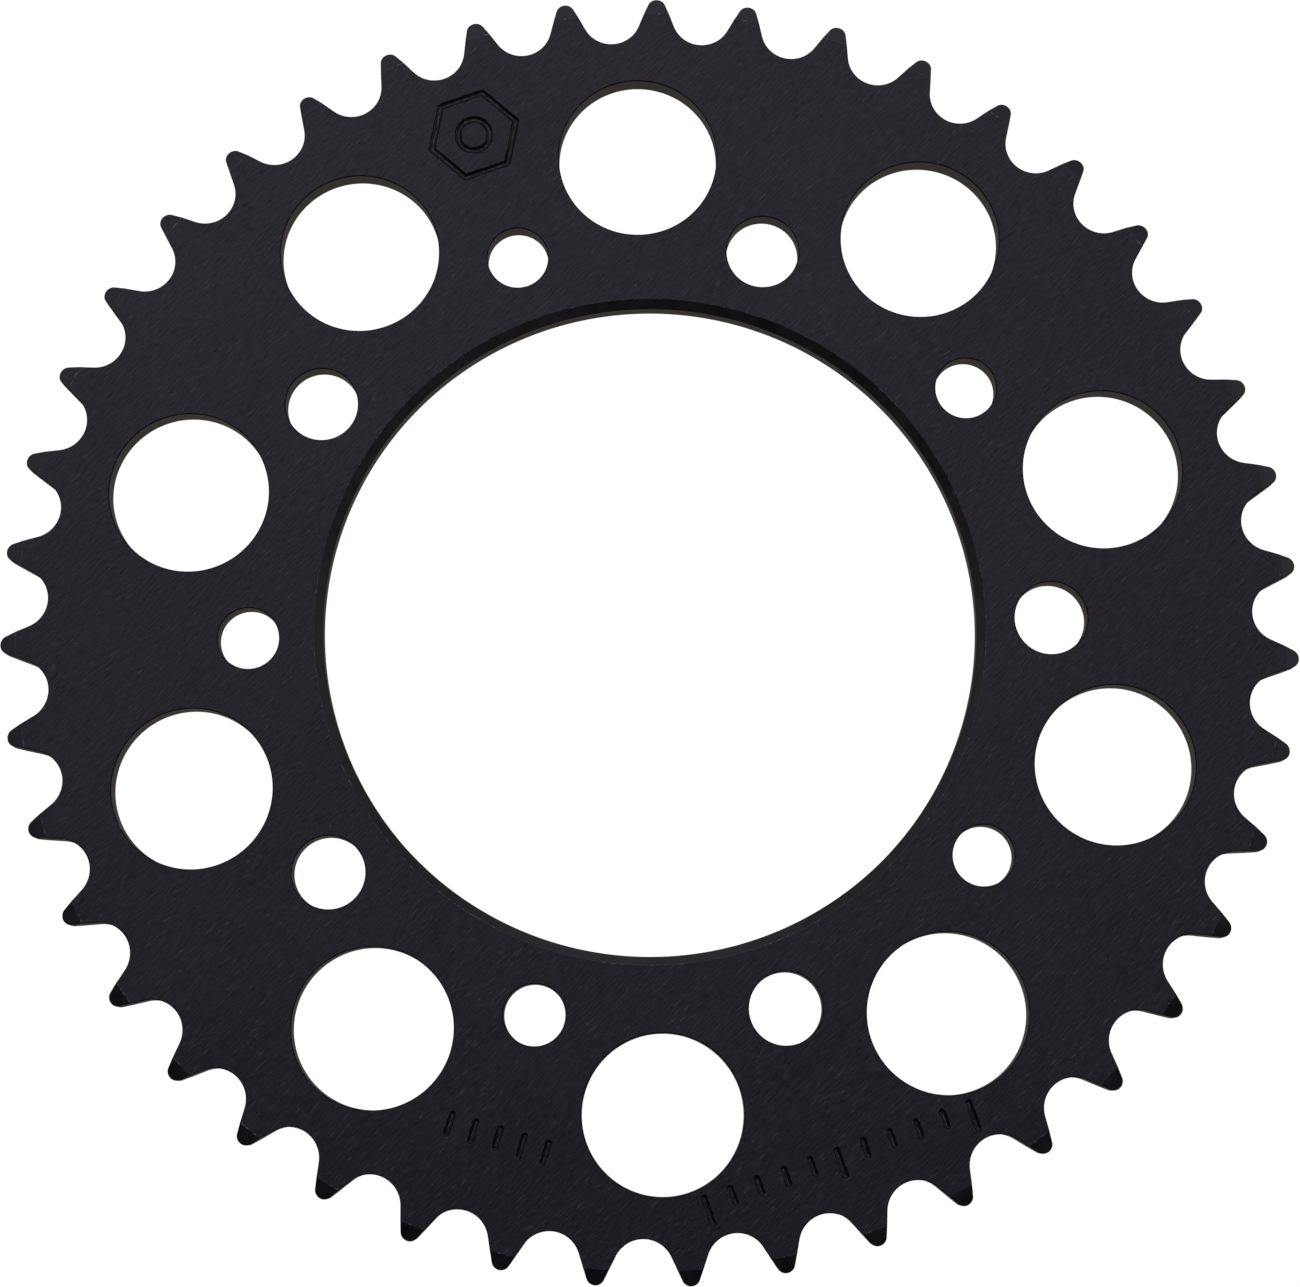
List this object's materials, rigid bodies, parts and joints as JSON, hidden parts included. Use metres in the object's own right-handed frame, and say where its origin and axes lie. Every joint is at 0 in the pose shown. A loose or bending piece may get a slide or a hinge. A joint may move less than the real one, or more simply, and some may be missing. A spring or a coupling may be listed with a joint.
{
  "type": "motorcycle rear sprocket",
  "caption": "Flat one-piece chain sprocket: toothed rim, round lightening holes, stud holes on one circle and a wide centre bore chamfered at the front.",
  "frame": {"origin": "on the axis of the centre bore, at the flat back face that seats on the hub", "axes": "+Z along the axis, out of the marked front face; +X through the middle of one large stud hole and of one tooth gap; +Y completes the right-handed frame"},
  "size_m": [0.2232, 0.2234, 0.0053],
  "materials": {
    "black_steel": "satin black over a straight-ground steel face"
  },
  "bodies": {
    "root": {"sprocket": "black_steel"}
  },
  "joints": []
}
